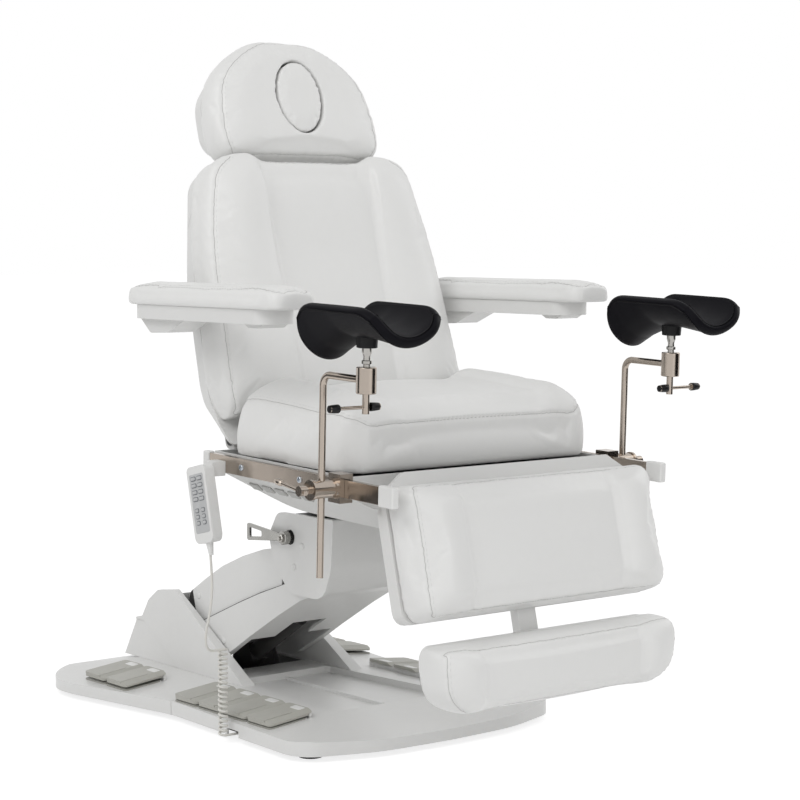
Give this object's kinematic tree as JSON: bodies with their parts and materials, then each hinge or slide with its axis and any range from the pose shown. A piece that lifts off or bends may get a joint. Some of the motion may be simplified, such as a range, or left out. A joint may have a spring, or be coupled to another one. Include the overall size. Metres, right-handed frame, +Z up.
{
  "type": "examination table",
  "caption": "Power examination chair on a parallelogram lifting arm, with reclining back, headrest, leg and foot rests, armrests, foot pedals and knee crutches on side rails.",
  "frame": {"origin": "middle of the overall box at floor level", "axes": "+X to the sitter's left, +Y to the rear, +Z up; metres"},
  "size_m": [0.8432, 1.2067, 1.2653],
  "materials": {
    "cover": "light grey moulded shell, satin gloss",
    "shell": "mid grey moulded shell",
    "upholstery": "pale grey coated upholstery",
    "steel": "dark painted steel",
    "alloy": "plain aluminium plate",
    "rail": "brushed steel",
    "cap": "white plastic",
    "pedal": "grey moulded plastic",
    "key": "soft grey keys",
    "pad": "black moulded foam",
    "foot": "black rubber",
    "control": "light grey plastic",
    "cord": "light grey cord jacket"
  },
  "bodies": {
    "base": {"base_frame": "steel", "base_cover": "cover", "rear_housing": "cover", "feet": "foot", "handset_cord": "cord", "handset_cord_curls": "cord"},
    "main_arm": {"main_arm": "steel", "arm_lower_cover": "cover"},
    "link_arm": {"link_arm": "steel", "arm_upper_cover": "cover"},
    "lift_motor": {"lift_motor": "steel"},
    "lift_rod": {"lift_rod": "rail"},
    "seat": {"head_bracket": "steel", "head_shroud": "cover", "turntable": "steel", "seat_frame": "steel", "seat_pan": "cover", "seat_cushion": "upholstery", "side_rails": "rail", "rail_caps": "cap", "panel_keys": "key", "handset": "control"},
    "lock_lever": {"lock_lever": "rail"},
    "back": {"back_frame": "alloy", "back_shell": "shell", "back_cushion": "upholstery"},
    "headrest": {"head_cushion": "upholstery", "head_plug": "upholstery", "head_shell": "shell", "head_rods": "rail"},
    "leg_rest": {"leg_cushion": "upholstery", "leg_shell": "shell"},
    "foot_rest": {"foot_cushion": "upholstery", "foot_bar": "shell"},
    "armrest_left": {"arm_pad_left": "upholstery", "arm_body_left": "cover"},
    "rail_clamp_left": {"rail_clamp_left": "rail"},
    "clamp_screw_left": {"clamp_screw_left": "rail"},
    "crutch_pole_left": {"crutch_pole_left": "rail"},
    "pad_screw_left": {"pad_screw_left": "rail"},
    "knee_pad_left": {"knee_pad_left": "pad"},
    "pedal_left_1": {"pedal_left_1": "pedal"},
    "pedal_left_2": {"pedal_left_2": "pedal"},
    "pedal_left_3": {"pedal_left_3": "pedal"},
    "pedal_left_4": {"pedal_left_4": "pedal"},
    "pedal_left_5": {"pedal_left_5": "pedal"},
    "pedal_left_6": {"pedal_left_6": "pedal"},
    "armrest_right": {"arm_pad_right": "upholstery", "arm_body_right": "cover"},
    "rail_clamp_right": {"rail_clamp_right": "rail"},
    "clamp_screw_right": {"clamp_screw_right": "rail"},
    "crutch_pole_right": {"crutch_pole_right": "rail"},
    "pad_screw_right": {"pad_screw_right": "rail"},
    "knee_pad_right": {"knee_pad_right": "pad"},
    "pedal_right_1": {"pedal_right_1": "pedal"},
    "pedal_right_2": {"pedal_right_2": "pedal"},
    "pedal_right_3": {"pedal_right_3": "pedal"},
    "pedal_right_4": {"pedal_right_4": "pedal"},
    "pedal_right_5": {"pedal_right_5": "pedal"},
    "pedal_right_6": {"pedal_right_6": "pedal"}
  },
  "joints": [
    {"name": "lift", "type": "hinge", "parent": "base", "child": "main_arm", "pos_m": [0, 0.391, 0.11], "axis": [-1, 0, 0], "range_deg": [0, 30], "deforming": ["handset_cord", "handset_cord_curls"]},
    {"name": "link", "type": "hinge", "parent": "base", "child": "link_arm", "pos_m": [0, 0.4, 0.175], "axis": [-1, 0, 0], "range_deg": [0, 30]},
    {"name": "head_level", "type": "hinge", "parent": "main_arm", "child": "seat", "pos_m": [0, -0.02395, 0.27513], "axis": [-1, 0, 0], "range_deg": [-30, 0]},
    {"name": "drive_swing", "type": "hinge", "parent": "base", "child": "lift_motor", "pos_m": [0, 0.361, 0.044], "axis": [-1, 0, 0], "range_deg": [0, 28.49]},
    {"name": "drive_rod", "type": "slide", "parent": "lift_motor", "child": "lift_rod", "axis": [0, -0.8528, 0.5222], "range_m": [0, 0.03655]},
    {"name": "lock", "type": "hinge", "parent": "seat", "child": "lock_lever", "pos_m": [-0.138, 0.022, 0.347], "axis": [1, 0, 0], "range_deg": [0, 60]},
    {"name": "recline", "type": "hinge", "parent": "seat", "child": "back", "pos_m": [0, 0.056, 0.53], "axis": [-1, 0, 0], "range_deg": [0, 70]},
    {"name": "headrest_height", "type": "slide", "parent": "back", "child": "headrest", "axis": [0, 0.2656, 0.9641], "range_m": [0, 0.08]},
    {"name": "leg_lift", "type": "hinge", "parent": "seat", "child": "leg_rest", "pos_m": [0, -0.414, 0.495], "axis": [-1, 0, 0], "range_deg": [0, 72]},
    {"name": "foot_reach", "type": "slide", "parent": "leg_rest", "child": "foot_rest", "axis": [0, -0.2351, -0.972], "range_m": [-0.03, 0.1]},
    {"name": "armrest_left", "type": "hinge", "parent": "back", "child": "armrest_left", "pos_m": [0.338, 0.098, 0.741], "axis": [-1, 0, 0], "range_deg": [0, 75]},
    {"name": "clamp_slide_left", "type": "slide", "parent": "seat", "child": "rail_clamp_left", "axis": [0, -0.9994, -0.0349], "range_m": [-0.04, 0.08]},
    {"name": "clamp_turn_left", "type": "hinge", "parent": "rail_clamp_left", "child": "clamp_screw_left", "pos_m": [0.381, -0.36979, 0.48767], "axis": [1, 0, 0], "range_deg": [-60, 60]},
    {"name": "pole_height_left", "type": "slide", "parent": "rail_clamp_left", "child": "crutch_pole_left", "axis": [0, -0.0349, 0.9994], "range_m": [-0.08, 0.12]},
    {"name": "pad_lock_left", "type": "hinge", "parent": "crutch_pole_left", "child": "pad_screw_left", "pos_m": [0.342, -0.48928, 0.67161], "axis": [0, -0.0349, 0.9994], "range_deg": [-90, 90]},
    {"name": "pad_swivel_left", "type": "hinge", "parent": "crutch_pole_left", "child": "knee_pad_left", "pos_m": [0.342, -0.48928, 0.67161], "axis": [0, -0.0349, 0.9994], "range_deg": [-45, 45]},
    {"name": "armrest_right", "type": "hinge", "parent": "back", "child": "armrest_right", "pos_m": [-0.338, 0.098, 0.741], "axis": [-1, 0, 0], "range_deg": [0, 75]},
    {"name": "clamp_slide_right", "type": "slide", "parent": "seat", "child": "rail_clamp_right", "axis": [0, -0.9994, -0.0349], "range_m": [-0.04, 0.08]},
    {"name": "clamp_turn_right", "type": "hinge", "parent": "rail_clamp_right", "child": "clamp_screw_right", "pos_m": [-0.381, -0.36979, 0.48767], "axis": [1, 0, 0], "range_deg": [-60, 60]},
    {"name": "pole_height_right", "type": "slide", "parent": "rail_clamp_right", "child": "crutch_pole_right", "axis": [0, -0.0349, 0.9994], "range_m": [-0.08, 0.12]},
    {"name": "pad_lock_right", "type": "hinge", "parent": "crutch_pole_right", "child": "pad_screw_right", "pos_m": [-0.342, -0.48928, 0.67161], "axis": [0, -0.0349, 0.9994], "range_deg": [-90, 90]},
    {"name": "pad_swivel_right", "type": "hinge", "parent": "crutch_pole_right", "child": "knee_pad_right", "pos_m": [-0.342, -0.48928, 0.67161], "axis": [0, -0.0349, 0.9994], "range_deg": [-45, 45]},
    {"name": "press_pedal_left_1", "type": "hinge", "parent": "base", "child": "pedal_left_1", "pos_m": [0.18694, -0.092, 0.05188], "axis": [0, 1, 0], "range_deg": [0, 1.3], "stiffness_Nm_per_rad": 8, "springref_deg": -3.44},
    {"name": "press_pedal_left_2", "type": "hinge", "parent": "base", "child": "pedal_left_2", "pos_m": [0.18694, -0.014, 0.05188], "axis": [0, 1, 0], "range_deg": [0, 1.3], "stiffness_Nm_per_rad": 8, "springref_deg": -3.44},
    {"name": "press_pedal_left_3", "type": "hinge", "parent": "base", "child": "pedal_left_3", "pos_m": [0.18694, 0.064, 0.05188], "axis": [0, 1, 0], "range_deg": [0, 1.3], "stiffness_Nm_per_rad": 8, "springref_deg": -3.44},
    {"name": "press_pedal_left_4", "type": "hinge", "parent": "base", "child": "pedal_left_4", "pos_m": [0.18694, 0.142, 0.05188], "axis": [0, 1, 0], "range_deg": [0, 1.3], "stiffness_Nm_per_rad": 8, "springref_deg": -3.44},
    {"name": "press_pedal_left_5", "type": "hinge", "parent": "base", "child": "pedal_left_5", "pos_m": [0.20794, 0.352, 0.05188], "axis": [0, 1, 0], "range_deg": [0, 1.3], "stiffness_Nm_per_rad": 8, "springref_deg": -3.44},
    {"name": "press_pedal_left_6", "type": "hinge", "parent": "base", "child": "pedal_left_6", "pos_m": [0.20794, 0.43, 0.05188], "axis": [0, 1, 0], "range_deg": [0, 1.3], "stiffness_Nm_per_rad": 8, "springref_deg": -3.44},
    {"name": "press_pedal_right_1", "type": "hinge", "parent": "base", "child": "pedal_right_1", "pos_m": [-0.18694, -0.092, 0.05188], "axis": [0, -1, 0], "range_deg": [0, 1.3], "stiffness_Nm_per_rad": 8, "springref_deg": -3.44},
    {"name": "press_pedal_right_2", "type": "hinge", "parent": "base", "child": "pedal_right_2", "pos_m": [-0.18694, -0.014, 0.05188], "axis": [0, -1, 0], "range_deg": [0, 1.3], "stiffness_Nm_per_rad": 8, "springref_deg": -3.44},
    {"name": "press_pedal_right_3", "type": "hinge", "parent": "base", "child": "pedal_right_3", "pos_m": [-0.18694, 0.064, 0.05188], "axis": [0, -1, 0], "range_deg": [0, 1.3], "stiffness_Nm_per_rad": 8, "springref_deg": -3.44},
    {"name": "press_pedal_right_4", "type": "hinge", "parent": "base", "child": "pedal_right_4", "pos_m": [-0.18694, 0.142, 0.05188], "axis": [0, -1, 0], "range_deg": [0, 1.3], "stiffness_Nm_per_rad": 8, "springref_deg": -3.44},
    {"name": "press_pedal_right_5", "type": "hinge", "parent": "base", "child": "pedal_right_5", "pos_m": [-0.20794, 0.352, 0.05188], "axis": [0, -1, 0], "range_deg": [0, 1.3], "stiffness_Nm_per_rad": 8, "springref_deg": -3.44},
    {"name": "press_pedal_right_6", "type": "hinge", "parent": "base", "child": "pedal_right_6", "pos_m": [-0.20794, 0.43, 0.05188], "axis": [0, -1, 0], "range_deg": [0, 1.3], "stiffness_Nm_per_rad": 8, "springref_deg": -3.44}
  ],
  "couplings": [
    {"joint": "link", "follows": "lift", "ratio": 1},
    {"joint": "head_level", "follows": "lift", "ratio": -1},
    {"joint": "drive_swing", "follows": "lift", "ratio": 0.93297},
    {"joint": "drive_rod", "follows": "lift", "m_per_rad": 0.067899}
  ]
}
